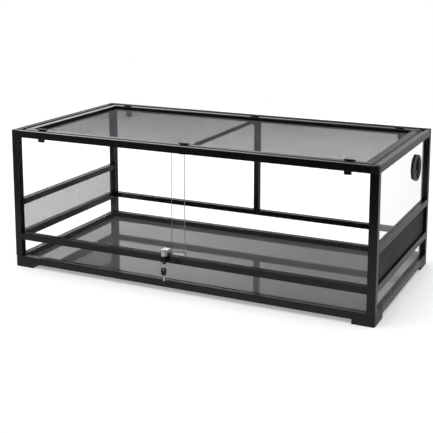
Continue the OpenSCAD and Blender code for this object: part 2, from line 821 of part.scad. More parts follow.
vent_mesh(1);  // vent_mesh_right
port_flange();
port_nut();
port_cover();
door_glass_left();
lock_bar();
door_glass_right();
lock_case();
lock_plug();
key();
key_ring();
spare_key();
lid_bar_x(-1);  // lid_bar_front
lid_bar_x(1);  // lid_bar_back
lid_bar_y(-1);  // lid_bar_left
lid_bar_y(1);  // lid_bar_right
lid_brace();
lid_mesh();
clip(-clip_x, -1);  // clip_front_left
clip(0, -1);  // clip_front_middle
clip(clip_x, -1);  // clip_front_right
clip(-clip_x, 1);  // clip_back_left
clip(0, 1);  // clip_back_middle
clip(clip_x, 1);  // clip_back_right
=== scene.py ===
"""Looks for a front-opening reptile terrarium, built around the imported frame.

Black extruded rails and moulded corners, glass panes with ground edges, woven
mesh, a plated ratchet lock with its keys, turn clips and a round cable port.
Everything is in metres, +Z up, with the front towards -Y.
"""

import json
import math

import bmesh
import bpy
from mathutils import Matrix, Vector


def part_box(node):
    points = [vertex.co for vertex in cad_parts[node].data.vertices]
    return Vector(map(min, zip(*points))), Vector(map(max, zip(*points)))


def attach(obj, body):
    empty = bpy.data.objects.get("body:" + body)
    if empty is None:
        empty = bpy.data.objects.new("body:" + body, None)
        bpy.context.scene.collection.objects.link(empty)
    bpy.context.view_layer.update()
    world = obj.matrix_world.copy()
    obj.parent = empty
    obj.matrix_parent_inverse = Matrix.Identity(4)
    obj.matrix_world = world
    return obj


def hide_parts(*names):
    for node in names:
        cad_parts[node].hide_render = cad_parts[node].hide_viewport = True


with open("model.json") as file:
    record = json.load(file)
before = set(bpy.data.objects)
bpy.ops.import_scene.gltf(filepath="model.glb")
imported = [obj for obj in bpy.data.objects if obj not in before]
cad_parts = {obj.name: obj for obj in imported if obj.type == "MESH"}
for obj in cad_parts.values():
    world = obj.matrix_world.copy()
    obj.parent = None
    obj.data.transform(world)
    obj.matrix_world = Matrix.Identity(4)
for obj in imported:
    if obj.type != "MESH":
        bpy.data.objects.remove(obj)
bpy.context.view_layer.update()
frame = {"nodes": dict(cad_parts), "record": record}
bpy.context.scene.view_settings.view_transform = "Standard"

MM = 0.001


def span(node):
    """The lowest corner, highest corner, middle and size of a CAD node."""
    low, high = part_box(node)
    return low, high, (low + high) / 2, high - low


# ---------------------------------------------------------------- camera

CAMERA_AT = Vector((1.280, -2.702, 1.028))
CAMERA_TURN = 25.61  # degrees to the left of straight on
CAMERA_DIP = 9.92  # degrees below the horizon
CAMERA_LENS = 78.3  # mm
CAMERA_SENSOR = 36  # mm
CAMERA_RISE = -0.234  # lens shift that keeps the posts nearly upright


def make_camera():
    """A camera to the right of the tank's front and a little above it."""
    data = bpy.data.cameras.new("camera")
    data.lens = CAMERA_LENS
    data.sensor_width = CAMERA_SENSOR
    data.shift_y = CAMERA_RISE
    camera = bpy.data.objects.new("camera", data)
    camera.location = CAMERA_AT
    camera.rotation_euler = (math.radians(90 - CAMERA_DIP), 0, math.radians(CAMERA_TURN))
    bpy.context.collection.objects.link(camera)
    bpy.context.scene.camera = camera


# ---------------------------------------------------------------- materials

PLASTIC_IOR = 1.5
GLASS_IOR = 1.5
PANE_IOR = 1.25  # below glass's own, so that the panes mirror the studio only faintly
MOTTLE = 111  # mm: the size of a plastic's faint cloudy patches
PANEL_PATCH = 167  # mm: the size of the patches in a mesh's coating
SHEET_WAVE = 333  # mm: from crest to crest of the floor sheet's waviness
WIPE_MARK = 25  # mm: the length of a mark on the floor sheet
SEAM_GRIT = 0.8  # mm: far coarser than a grinding belt's, so that it shows
SCUFF = 1.11  # mm: the size of a faint scuff on plating
DIE_LINE = 0.02  # how fast the grain changes along a profile, against across it
SMOOTHER = 0.05  # how far the grain lowers and raises a plastic's roughness
ROUGHER = 0.06


def linear(code):
    """An sRGB hex colour as linear RGBA."""
    channels = [int(code[i : i + 2], 16) / 255 for i in (1, 3, 5)]
    straight = [c / 12.92 if c <= 0.04045 else ((c + 0.055) / 1.055) ** 2.4 for c in channels]
    return (*straight, 1.0)


def grey(value):
    """A linear grey, for a ramp that carries plain numbers."""
    return (value, value, value, 1.0)


def add_node(tree, kind, inputs=None, links=None, stops=(), **settings):
    """Adds a node with its settings, input values, links and, on a ramp, its stops."""
    node = tree.nodes.new(kind)
    for name, value in settings.items():
        setattr(node, name, value)
    for name, value in (inputs or {}).items():
        node.inputs[name].default_value = value
    for name, socket in (links or {}).items():
        tree.links.new(socket, node.inputs[name])
    while stops and len(node.color_ramp.elements) < len(stops):
        node.color_ramp.elements.new(0.5)
    for index, (position, colour) in enumerate(stops):
        node.color_ramp.elements[index].position = position
        node.color_ramp.elements[index].color = colour
    return node


def new_material(name):
    """An empty node material: its tree and the output node."""
    made = bpy.data.materials.new(name)
    made.use_nodes = True
    made.node_tree.nodes.clear()
    return made, made.node_tree, made.node_tree.nodes.new("ShaderNodeOutputMaterial")


def uneven(tree, size, low, high, detail=2.0, stretch=(1, 1, 1)):
    """A pattern in object space, its features a size in mm: the noise and its colour
    between two (position, colour) stops."""
    place = add_node(tree, "ShaderNodeTexCoord").outputs["Object"]
    mapped = add_node(tree, "ShaderNodeMapping", {"Scale": stretch}, {"Vector": place})
    noise = add_node(
        tree,
        "ShaderNodeTexNoise",
        {"Scale": 1 / (size * MM), "Detail": detail},
        {"Vector": mapped.outputs["Vector"]},
    ).outputs["Fac"]
    ramp = add_node(tree, "ShaderNodeValToRGB", links={"Fac": noise}, stops=(low, high))
    return noise, ramp.outputs["Color"]


def satin_plastic(name, dark, light, rough, grain_size, grain_depth, stretch=(1, 1, 1)):
    """A plastic with slight mottling, a grain (mm) that is drawn coarser than the real
    one so that it shows, and an even gloss."""
    made, tree, out = new_material(name)
    _, base = uneven(tree, MOTTLE, (0.35, linear(dark)), (0.7, linear(light)), detail=3.0)
    smoother = (0.3, grey(rough - SMOOTHER))
    rougher = (0.7, grey(rough + ROUGHER))
    grain, gloss = uneven(tree, grain_size, smoother, rougher, stretch=stretch)
    bump = add_node(
        tree,
        "ShaderNodeBump",
        {"Strength": 0.2, "Distance": grain_depth * MM},
        {"Height": grain},
    )
    shader = add_node(
        tree,
        "ShaderNodeBsdfPrincipled",
        {"IOR": PLASTIC_IOR},
        {"Base Color": base, "Roughness": gloss, "Normal": bump.outputs["Normal"]},
    )
    tree.links.new(shader.outputs["BSDF"], out.inputs["Surface"])
    return made


def extruded_pvc(axis):
    """Extruded black PVC: fine die lines run along the profile and stretch its highlights."""
    stretch = tuple(DIE_LINE if way == axis else 1 for way in "xyz")
    return satin_plastic(
        "extruded_pvc_" + axis,
        "#0b0a0a",
        "#100f0f",
        rough=0.22,
        grain_size=1.2,
        grain_depth=0.012,
        stretch=stretch,
    )


def stop_rubber():
    """Black EPDM rubber of the stop and the port's knob: dead matt, with a fine bloom."""
    return satin_plastic(
        "stop_rubber", "#060606", "#0a0a0a", rough=0.6, grain_size=0.5, grain_depth=0.03
    )


def moulded_abs():
    """Injection-moulded black ABS: a fine spark-eroded grain, duller than the profiles."""
    return satin_plastic(
        "moulded_abs", "#0a0a0b", "#101011", rough=0.38, grain_size=0.8, grain_depth=0.04
    )


def port_rim_painted_highlight():
    """Moulded nylon of the port's flange, satin: its light grey, the lightest of the plastics, is
    a painted highlight on a rim that is black.
    """
    return satin_plastic(
        "port_nylon_painted_highlight", "#626265", "#6c6c70", rough=0.4, grain_size=0.8, grain_depth=0.03
    )


def port_cover_painted_highlight():
    """Dark moulded ABS of the port's cover, a shade lighter than the frame: the lift is a painted
    highlight that lets its ridges show grey.
    """
    return satin_plastic(
        "port_cover_abs_painted_highlight", "#161617", "#1e1e20", rough=0.36, grain_size=0.8, grain_depth=0.03
    )


def overmoulded_head():
    """Soft black thermoplastic rubber, moulded over the keys' heads: matt, finely grained."""
    return satin_plastic(
        "overmoulded_head", "#060607", "#0b0b0c", rough=0.6, grain_size=0.6, grain_depth=0.05
    )


def float_glass():
    """Clear float glass: its faces mirror little, and lamp light passes to the floor."""
    made, tree, out = new_material("float_glass")
    body = add_node(
        tree,
        "ShaderNodeBsdfPrincipled",
        {
            "Base Color": linear("#feffff"),
            "Roughness": 0.0,
            "IOR": PANE_IOR,
            "Transmission Weight": 1.0,
        },
    )
    through = add_node(tree, "ShaderNodeBsdfTransparent", {"Color": linear("#fdfefe")})
    ray = add_node(tree, "ShaderNodeLightPath")
    mix = add_node(
        tree,
        "ShaderNodeMixShader",
        links={"Fac": ray.outputs["Is Shadow Ray"]},
    )
    tree.links.new(body.outputs["BSDF"], mix.inputs[1])
    tree.links.new(through.outputs["BSDF"], mix.inputs[2])
    tree.links.new(mix.outputs["Shader"], out.inputs["Surface"])
    return made


def ground_edge():
    """Seamed glass edge: a matt grey-green band where the arris was ground."""
    made, tree, out = new_material("ground_glass_edge")
    grit, base = uneven(tree, SEAM_GRIT, (0.3, linear("#6f7775")), (0.7, linear("#8f9795")))
    bump = add_node(
        tree, "ShaderNodeBump", {"Strength": 0.4, "Distance": 0.05 * MM}, {"Height": grit}
    )
    shader = add_node(
        tree,
        "ShaderNodeBsdfPrincipled",
        {"Roughness": 0.45, "IOR": GLASS_IOR},
        {"Base Color": base, "Normal": bump.outputs["Normal"]},
    )
    tree.links.new(shader.outputs["BSDF"], out.inputs["Surface"])
    return made


def coated_wire(name, dark, light):
    """Woven steel wire with a thin coating, uneven from panel to panel, that shines grey."""
    made, tree, out = new_material(name)
    _, base = uneven(tree, PANEL_PATCH, (0.3, linear(dark)), (0.7, linear(light)))
    shader = add_node(
        tree,
        "ShaderNodeBsdfPrincipled",
        {"Metallic": 0.4, "Roughness": 0.45},
        {"Base Color": base},
    )
    tree.links.new(shader.outputs["BSDF"], out.inputs["Surface"])
    return made


def polished_sheet():
    """Dark polished floor sheet: mirrors the panes, with faint waviness and wipe marks."""
    made, tree, out = new_material("polished_pvc_sheet")
    _, base = uneven(tree, SHEET_WAVE, (0.3, linear("#57585a")), (0.7, linear("#5f6062")))
    smoother = (0.35, grey(0.02))
    rougher = (0.75, grey(0.06))
    _, gloss = uneven(tree, WIPE_MARK, smoother, rougher, detail=4.0, stretch=(0.3, 1, 1))
    shader = add_node(
        tree,
        "ShaderNodeBsdfPrincipled",
        {"IOR": PLASTIC_IOR},
        {"Base Color": base, "Roughness": gloss},
    )
    tree.links.new(shader.outputs["BSDF"], out.inputs["Surface"])
    return made


def plated(name, colour, rough, scuffed):
    """Bright plating over cast or stamped metal, with faint scuffs that break its shine."""
    made, tree, out = new_material(name)
    clean = (0.3, linear(colour))
    bright = (0.75, linear("#f2f2f4"))
    scuffs, base = uneven(tree, SCUFF, clean, bright, detail=3.0)
    gloss = add_node(
        tree,
        "ShaderNodeValToRGB",
        links={"Fac": scuffs},
        stops=((0.4, grey(rough)), (0.8, grey(rough + scuffed))),
    ).outputs["Color"]
    shader = add_node(
        tree,
        "ShaderNodeBsdfPrincipled",
        {"Metallic": 1.0},
        {"Base Color": base, "Roughness": gloss},
    )
    tree.links.new(shader.outputs["BSDF"], out.inputs["Surface"])
    return made


PVC = {axis: extruded_pvc(axis) for axis in "xyz"}
ABS = moulded_abs()
# painted highlight: the flange's light grey stands in for the light on its black rim
PORT_RIM_PAINTED_HIGHLIGHT = port_rim_painted_highlight()
# painted highlight: the cover is a shade lighter than black so that its ridges show
PORT_COVER_PAINTED_HIGHLIGHT = port_cover_painted_highlight()
RUBBER = stop_rubber()
HEAD_PLASTIC = overmoulded_head()
GLASS = float_glass()
EDGE = ground_edge()
LID_COAT = coated_wire("epoxy_coated_wire", "#69646a", "#78737a")
VENT_COAT = coated_wire("dark_coated_wire", "#505053", "#5f5f62")
SHEET = polished_sheet()
CHROME = plated("chrome_plating", "#d8d9db", rough=0.12, scuffed=0.12)
NICKEL = plated("nickel_plating", "#cfcdc8", rough=0.24, scuffed=0.15)
ZINC = plated("zinc_plating", "#8c8c8e", rough=0.32, scuffed=0.15)

# ---------------------------------------------------------------- mesh helpers

MERGE = 0.002 * MM
OUTLINE_MERGE = 0.01 * MM  # for the doubled points of a filled curve
FLAT = math.radians(0.5)  # triangles that meet flatter than this are one face
SHARP = math.radians(30)  # edges sharper than this are broken
ROUND_STEPS = 4


def link_mesh(name, mesh, *materials):
    """Links a mesh as an object at the origin with the materials given."""
    made = bpy.data.objects.new(name, mesh)
    bpy.context.collection.objects.link(made)
    mesh.materials.clear()
    for material in materials:
        mesh.materials.append(material)
    return made


def applied(made):
    """Bakes an object's modifiers into a plain mesh."""
    graph = bpy.context.evaluated_depsgraph_get()
    graph.update()
    mesh = bpy.data.meshes.new_from_object(made.evaluated_get(graph))
    made.modifiers.clear()
    made.data = mesh
    return made


def cad_copy(node):
    """A merged copy of a CAD node's mesh with flat faces joined, as a bmesh."""
    work = bmesh.new()
    work.from_mesh(frame["nodes"][node].data)
    bmesh.ops.remove_doubles(work, verts=work.verts, dist=MERGE)
    bmesh.ops.dissolve_limit(work, angle_limit=FLAT, verts=work.verts, edges=work.edges)
    return work


def body_with(node):
    """The body that a CAD node belongs to."""
    groups = frame["record"]["behaviour"]["bodies"]
    return next(body for body, nodes in groups.items() if node in nodes)


def finish_piece(made, node, in_place=True):
    """Gives a piece a CAD node's body and, if in_place, its place, by hiding the node."""
    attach(made, body_with(node))
    if in_place:
        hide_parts(node)


def soften(work, chosen, radius):
    """Rounds the edges of a bmesh that are chosen, before the rest are broken."""
    edges = [edge for edge in work.edges if chosen(edge)]
    bmesh.ops.bevel(
        work, geom=edges, offset=radius, segments=ROUND_STEPS, profile=0.5, affect="EDGES"
    )


def dressed(node, work, material, width, segments=2):
    """A reworked copy of a CAD node with its edges broken, in the node's place."""
    mesh = bpy.data.meshes.new(node)
    work.to_mesh(mesh)
    work.free()
    made = link_mesh("dressed_" + node, mesh, material)
    bevel = made.modifiers.new("edges", "BEVEL")
    bevel.width = width
    bevel.segments = segments
    bevel.limit_method = "ANGLE"
    bevel.angle_limit = SHARP
    applied(made)
    finish_piece(made, node)
    return made


def rounded(node, material, width, segments=2):
    """A CAD node with its edges rounded off, in its own place."""
    return dressed(node, cad_copy(node), material, width, segments)


def tube_mesh(name, points, radius):
    """A round wire through points, capped at both ends, as a mesh."""
    data = bpy.data.curves.new(name, "CURVE")
    data.dimensions = "3D"
    data.bevel_depth = radius
    data.bevel_resolution = 2
    data.use_fill_caps = True
    spline = data.splines.new("POLY")
    spline.points.add(len(points) - 1)
    for point, place in zip(spline.points, points):
        point.co = (*place, 1)
    return curve_mesh(name, data)


def curve_mesh(name, data):
    """A curve as a plain mesh; the curve's own object goes."""
    curve = bpy.data.objects.new(name + "_curve", data)
    bpy.context.collection.objects.link(curve)
    graph = bpy.context.evaluated_depsgraph_get()
    graph.update()
    mesh = bpy.data.meshes.new_from_object(curve.evaluated_get(graph))
    bpy.data.objects.remove(curve)
    return mesh


def shell_mesh(name, rings, closed=False):
    """A mesh through rings of points. A last ring of one point is a pole. Each ring closes
    on itself, and the shell closes on its first ring or gets a cap at each open end."""
    work = bmesh.new()
    loops = [[work.verts.new(place) for place in ring] for ring in rings]
    following = loops[1:] + loops[:1] if closed else loops[1:]
    for a, b in zip(loops, following):
        for k in range(len(a)):
            after = (k + 1) % len(a)
            if len(b) == 1:
                work.faces.new((a[k], a[after], b[0]))
            else:
                work.faces.new((a[k], a[after], b[after], b[k]))
    ends = [] if closed else [loops[0], loops[-1]]
    for end in ends:
        if len(end) > 1:
            work.faces.new(end)
    bmesh.ops.recalc_face_normals(work, faces=work.faces)
    mesh = bpy.data.meshes.new(name)
    work.to_mesh(mesh)
    work.free()
    return mesh


# ---------------------------------------------------------------- frame

EDGE_ROUND = 0.7 * MM
SHEET_ROUND = 0.4 * MM
POST_ROUND = 3 * MM  # the outer corner of the posts and corner caps
FOOT_ROUND = 6 * MM
BAR_ROUND = 3.2 * MM  # the outer upper edges of the lid's bars
RIM_WIDTH = 14 * MM
BAR_INSET = 28 * MM  # of the raised bars' outer sides from the frame's outer faces
BAR_WIDTH = 22 * MM
LONG_EDGE = 20 * MM  # only a bar's edges along its length are longer
# How far each top rail's rim falls at its inner edge, and each bar's top at its outer edge
RIM_FALL = {"front": 0.0, "back": 7.5 * MM, "left": 7.5 * MM, "right": 1 * MM}
BAR_FALL = {"front": 0.0, "back": 0.0, "left": 0.0, "right": 3 * MM}
TOUCH = 0.05 * MM
NEAR = 0.1 * MM

FRAME_LOW = span("post_front_left")[0]
FRAME_HIGH = span("post_back_right")[1]
TANK_TOP = span("top_rail_front")[1].z
LID_TOP = span("lid_bar_front")[1].z


def side_of(node):
    """The side that a rail's or a bar's name ends in."""
    return node.split("_")[-1]


def from_outside(place):
    """How far a point lies inside the frame's nearest outer face."""
    return min(
        place.x - FRAME_LOW.x,
        FRAME_HIGH.x - place.x,
        place.y - FRAME_LOW.y,
        FRAME_HIGH.y - place.y,
    )


def outer_upright(edge):
    """An upright edge at one of the frame's four outer corners."""
    for vert in edge.verts:
        across = min(vert.co.x - FRAME_LOW.x, FRAME_HIGH.x - vert.co.x)
        along = min(vert.co.y - FRAME_LOW.y, FRAME_HIGH.y - vert.co.y)
        if max(across, along) > TOUCH:
            return False
    return abs(edge.verts[0].co.z - edge.verts[1].co.z) > NEAR


def lowered_edge(work, level, inset, fall):
    """Lowers the points at a level that lie at an inset from the frame's outside."""
    for vert in work.verts:
        at_inset = abs(from_outside(vert.co) - inset) < NEAR
        if vert.co.z > level - TOUCH and at_inset:
            vert.co.z -= fall


def frame_rail(node, axis):
    """An extruded rail; a top rail's rim falls towards the lid."""
    work = cad_copy(node)
    if node.startswith("top_rail"):
        lowered_edge(work, TANK_TOP, RIM_WIDTH, RIM_FALL[side_of(node)])
    dressed(node, work, PVC[axis], EDGE_ROUND)


def lid_bar(node, axis):
    """A bar of the lid: its outer upper edge is rounder, and its top may fall outwards."""
    work = cad_copy(node)

    def outer_and_upper(edge):
        for vert in edge.verts:
            outer = abs(from_outside(vert.co) - BAR_INSET) < NEAR
            if not outer or vert.co.z < LID_TOP - TOUCH:
                return False
        return edge.calc_length() > LONG_EDGE

    soften(work, outer_and_upper, BAR_ROUND)
    for vert in work.verts:
        outward = 1 - (from_outside(vert.co) - BAR_INSET) / BAR_WIDTH
        if vert.co.z > LID_TOP - BAR_ROUND - TOUCH and 0 <= outward <= 1:
            vert.co.z -= BAR_FALL[side_of(node)] * outward
    dressed(node, work, PVC[axis], EDGE_ROUND)


def corner_piece(node, material, radius):
    """A post, foot or corner cap with its outer upright edge rounded."""
    work = cad_copy(node)
    soften(work, outer_upright, radius)
    dressed(node, work, material, EDGE_ROUND)


RAILS = {
    "x": ["base_rail_front", "base_rail_back", "top_rail_front", "top_rail_back",
          "door_track", "back_mid_rail"],
    "y": ["base_rail_left", "base_rail_right", "top_rail_left", "top_rail_right",
          "side_lower_rail_left", "side_lower_rail_right", "side_upper_rail_left",
          "side_upper_rail_right"],
    "z": ["back_centre_post"],
}
LID_BARS = {"x": ["lid_bar_front", "lid_bar_back"], "y": ["lid_bar_left", "lid_bar_right"]}

for axis, nodes in RAILS.items():
    for node in nodes:
        frame_rail(node, axis)
for axis, nodes in LID_BARS.items():
    for node in nodes:
        lid_bar(node, axis)
for corner in ("front_left", "front_right", "back_left", "back_right"):
    corner_piece("post_" + corner, PVC["z"], POST_ROUND)
    corner_piece("foot_" + corner, ABS, FOOT_ROUND)
corner_piece("top_corners", ABS, POST_ROUND)
rounded("lid_brace", PVC["y"], EDGE_ROUND)
rounded("track_stop", RUBBER, EDGE_ROUND)
rounded("floor_panel", SHEET, SHEET_ROUND)

# ---------------------------------------------------------------- turn clips

CLIP_ROUND = 1.1 * MM
CLIP_STEPS = 3
SHORT_TAB = 9 * MM  # how much shorter the middle clips' tabs are
DISC_THICK = 2 * MM  # of the disc below the grip
DISC_RADIUS = 12 * MM
GRIP_SHARE = 0.72  # of the grip's length that stays
GRIP_DROP = 1.2 * MM


def turn_clip(place):
    """A moulded clip: rounded grip, disc, shaft and tab."""
    node = "clip_" + place
    work = cad_copy(node)
    low, _, middle, _ = span(node)
    shortened = SHORT_TAB if place.endswith("middle") else 0.0
    for vert in work.verts:
        if vert.co.z > LID_TOP + DISC_THICK + TOUCH:
            vert.co.z -= GRIP_DROP
        if vert.co.z > LID_TOP and abs(vert.co.x - middle.x) > DISC_RADIUS:
            vert.co.x = middle.x + (vert.co.x - middle.x) * GRIP_SHARE
        if vert.co.z < low.z + TOUCH:
            vert.co.z += shortened
    dressed(node, work, ABS, CLIP_ROUND, CLIP_STEPS)


for side in ("front", "back"):
    for place in ("left", "middle", "right"):
        turn_clip(side + "_" + place)

# ---------------------------------------------------------------- corner screws

HEAD_RADIUS = 3.9 * MM
HEAD_HEIGHT = 2.2 * MM
HEAD_SIDES = 24
SHAFT_RADIUS = 1.9 * MM
SHAFT_SIDES = 16
RECESS = Vector((4.6, 1.1, 1.6)) * MM  # one arm of the cross recess: length, width, depth
HEAD_SINK = 1.6 * MM  # how far a cap screw's head lies below the corner cap's top
SOLID_HEAD = 4 * MM  # radius of the solids' screw heads
CAP_SCREW = 36 * MM  # lengths of the shafts
FOOT_SCREW = 60 * MM


def seated_screws():
    """Geometry nodes: a cross-recessed countersunk screw at each point, head up."""
    tree = bpy.data.node_groups.new("seated_screws", "GeometryNodeTree")
    for name, kind in (("Points", "NodeSocketGeometry"), ("Head Radius", "NodeSocketFloat"),
                       ("Head Height", "NodeSocketFloat"), ("Shaft Radius", "NodeSocketFloat"),
                       ("Shaft Length", "NodeSocketFloat"), ("Recess", "NodeSocketVector"),
                       ("Turn", "NodeSocketFloat"), ("Material", "NodeSocketMaterial")):
        tree.interface.new_socket(name, in_out="INPUT", socket_type=kind)
    tree.interface.new_socket("Geometry", in_out="OUTPUT", socket_type="NodeSocketGeometry")
    given = tree.nodes.new("NodeGroupInput").outputs

    def lowered(geometry, depth, share):
        """Geometry moved down by a share of a depth."""
        drop = add_node(tree, "ShaderNodeMath", {1: -share}, {0: depth}, operation="MULTIPLY")
        offset = add_node(tree, "ShaderNodeCombineXYZ", links={"Z": drop.outputs[0]})
        return add_node(
            tree,
            "GeometryNodeTransform",
            links={"Geometry": geometry, "Translation": offset.outputs[0]},
        ).outputs["Geometry"]

    cone = add_node(
        tree,
        "GeometryNodeMeshCone",
        {"Vertices": HEAD_SIDES},
        {
            "Radius Top": given["Head Radius"],
            "Radius Bottom": given["Shaft Radius"],
            "Depth": given["Head Height"],
        },
    )
    shaft = add_node(
        tree,
        "GeometryNodeMeshCylinder",
        {"Vertices": SHAFT_SIDES},
        {"Radius": given["Shaft Radius"], "Depth": given["Shaft Length"]},
    )
    arm = add_node(tree, "GeometryNodeMeshCube", links={"Size": given["Recess"]})
    other_arm = add_node(
        tree,
        "GeometryNodeTransform",
        {"Rotation": (0, 0, math.pi / 2)},
        {"Geometry": arm.outputs["Mesh"]},
    )
    cut = add_node(
        tree,
        "GeometryNodeMeshBoolean",
        links={"Mesh 1": lowered(cone.outputs["Mesh"], given["Head Height"], 1.0)},
        operation="DIFFERENCE",
    )
    tree.links.new(arm.outputs["Mesh"], cut.inputs["Mesh 2"])
    tree.links.new(other_arm.outputs["Geometry"], cut.inputs["Mesh 2"])
    below = lowered(shaft.outputs["Mesh"], given["Shaft Length"], 0.5)
    join = add_node(tree, "GeometryNodeJoinGeometry")
    tree.links.new(cut.outputs["Mesh"], join.inputs[0])
    tree.links.new(lowered(below, given["Head Height"], 1.0), join.inputs[0])
    turn = add_node(tree, "ShaderNodeCombineXYZ", links={"X": given["Turn"]})
    copies = add_node(
        tree,
        "GeometryNodeInstanceOnPoints",
        links={
            "Points": given["Points"],
            "Instance": join.outputs[0],
            "Rotation": turn.outputs[0],
        },
    )
    real = add_node(
        tree, "GeometryNodeRealizeInstances", links={"Geometry": copies.outputs["Instances"]}
    )
    coat = add_node(
        tree,
        "GeometryNodeSetMaterial",
        links={"Geometry": real.outputs[0], "Material": given["Material"]},
    )
    out = tree.nodes.new("NodeGroupOutput")
    tree.links.new(coat.outputs[0], out.inputs[0])
    return tree


def grown(made, tree, values):
    """Runs a geometry node tree on an object with named values, as a plain mesh."""
    modifier = made.modifiers.new(tree.name, "NODES")
    modifier.node_group = tree
    for item in tree.interface.items_tree:
        if item.in_out == "INPUT" and item.name in values:
            modifier[item.identifier] = values[item.name]
    return applied(made)


def screw_row(name, places, length, turn):
    """Four corner screws at their places, heads up or, when turned, down."""
    mesh = bpy.data.meshes.new(name)
    mesh.from_pydata(places, [], [])
    made = grown(
        link_mesh(name, mesh),
        SCREWS,
        {
            "Head Radius": HEAD_RADIUS,
            "Head Height": HEAD_HEIGHT,
            "Shaft Radius": SHAFT_RADIUS,
            "Shaft Length": length,
            "Recess": RECESS,
            "Turn": turn,
            "Material": ZINC,
        },
    )
    finish_piece(made, "corner_screws")


SCREWS = seated_screws()
screw_low, screw_high = span("corner_screws")[:2]
screw_places = [
    (x, y)
    for x in (screw_low.x + SOLID_HEAD, screw_high.x - SOLID_HEAD)
    for y in (screw_low.y + SOLID_HEAD, screw_high.y - SOLID_HEAD)
]
top_places = [(x, y, screw_high.z - HEAD_SINK) for x, y in screw_places]
foot_places = [(x, y, screw_low.z) for x, y in screw_places]
screw_row("cap_screws", top_places, CAP_SCREW, turn=0.0)
screw_row("foot_screws", foot_places, FOOT_SCREW, turn=math.pi)

# ---------------------------------------------------------------- glass

SEAM = 0.5 * MM
SEAM_LEAN = 0.9  # a face whose normal lies less along the pane's thickness is its edge


def pane(node):
    """A glass pane with seamed edges in a second material."""
    made = rounded(node, GLASS, SEAM, segments=1)
    made.data.materials.append(EDGE)
    size = span(node)[3]
    thin = min(range(3), key=lambda i: size[i])
    for face in made.data.polygons:
        if abs(face.normal[thin]) < SEAM_LEAN:
            face.material_index = 1


PANES = ["front_lower_glass", "back_lower_glass", "back_glass_left", "back_glass_right",
         "side_lower_glass_left", "side_lower_glass_right", "side_glass_left",
         "side_glass_right", "door_glass_left", "door_glass_right"]
for node in PANES:
    pane(node)

# ---------------------------------------------------------------- woven mesh

MESH_PITCH = 1.6 * MM
LID_WIRE = 0.128 * MM  # radii of the wires
VENT_WIRE = 0.23 * MM
WIRE_SIDES = 5
LAYER_LIFT = 0.98  # of a wire's radius, so that the two layers just bite into each other


def crossed_wires():
    """Geometry nodes: two layers of straight wires that cross, flat in X and Y."""
    tree = bpy.data.node_groups.new("crossed_wires", "GeometryNodeTree")
    for name, kind in (("Width", "NodeSocketFloat"), ("Height", "NodeSocketFloat"),
                       ("Pitch", "NodeSocketFloat"), ("Wire Radius", "NodeSocketFloat"),
                       ("Material", "NodeSocketMaterial")):
        tree.interface.new_socket(name, in_out="INPUT", socket_type=kind)
    tree.interface.new_socket("Geometry", in_out="OUTPUT", socket_type="NodeSocketGeometry")
    given = tree.nodes.new("NodeGroupInput").outputs
    ring = add_node(tree, "GeometryNodeCurvePrimitiveCircle", {"Resolution": WIRE_SIDES},
                    {"Radius": given["Wire Radius"]})

    def layer(length, across, turn, lift):
        """One layer: wires as long as length, repeated along across."""
        count = add_node(tree, "ShaderNodeMath", links={0: across, 1: given["Pitch"]},
                         operation="DIVIDE")
        whole = add_node(tree, "ShaderNodeMath", links={0: count.outputs[0]}, operation="FLOOR")
        gaps = add_node(tree, "ShaderNodeMath", {1: 1.0}, {0: whole.outputs[0]},
                        operation="SUBTRACT")
        reach = add_node(tree, "ShaderNodeMath", links={0: gaps.outputs[0], 1: given["Pitch"]},
                         operation="MULTIPLY")
        start = add_node(tree, "ShaderNodeMath", {1: -0.5}, {0: reach.outputs[0]},
                         operation="MULTIPLY")
        half = add_node(tree, "ShaderNodeMath", {1: 0.5}, {0: length}, operation="MULTIPLY")
        back = add_node(tree, "ShaderNodeMath", {1: -0.5}, {0: length}, operation="MULTIPLY")
        height = add_node(tree, "ShaderNodeMath", {1: lift}, {0: given["Wire Radius"]},
                          operation="MULTIPLY")
        first = add_node(tree, "ShaderNodeCombineXYZ",
                         links={"Y": start.outputs[0], "Z": height.outputs[0]})
        step = add_node(tree, "ShaderNodeCombineXYZ", links={"Y": given["Pitch"]})
        tips = [add_node(tree, "ShaderNodeCombineXYZ", links={"X": end.outputs[0]})
                for end in (back, half)]
        wire = add_node(tree, "GeometryNodeCurvePrimitiveLine",
                        links={"Start": tips[0].outputs[0], "End": tips[1].outputs[0]})
        tube = add_node(tree, "GeometryNodeCurveToMesh", {"Fill Caps": True},
                        {"Curve": wire.outputs["Curve"], "Profile Curve": ring.outputs["Curve"]})
        row = add_node(tree, "GeometryNodeMeshLine", mode="OFFSET",
                       links={"Count": whole.outputs[0], "Start Location": first.outputs[0],
                              "Offset": step.outputs[0]})
        copies = add_node(tree, "GeometryNodeInstanceOnPoints",
                          links={"Points": row.outputs["Mesh"], "Instance": tube.outputs["Mesh"]})
        real = add_node(tree, "GeometryNodeRealizeInstances",
                        links={"Geometry": copies.outputs["Instances"]})
        return add_node(tree, "GeometryNodeTransform", {"Rotation": (0, 0, turn)},
                        {"Geometry": real.outputs["Geometry"]}).outputs["Geometry"]

    lengthways = layer(given["Width"], given["Height"], 0.0, LAYER_LIFT)
    crossways = layer(given["Height"], given["Width"], math.pi / 2, -LAYER_LIFT)
    join = add_node(tree, "GeometryNodeJoinGeometry")
    tree.links.new(lengthways, join.inputs[0])
    tree.links.new(crossways, join.inputs[0])
    real = add_node(tree, "GeometryNodeRealizeInstances", links={"Geometry": join.outputs[0]})
    coated = add_node(tree, "GeometryNodeSetMaterial",
                      links={"Geometry": real.outputs[0], "Material": given["Material"]})
    out = tree.nodes.new("NodeGroupOutput")
    tree.links.new(coated.outputs[0], out.inputs[0])
    return tree


WEAVE = crossed_wires()


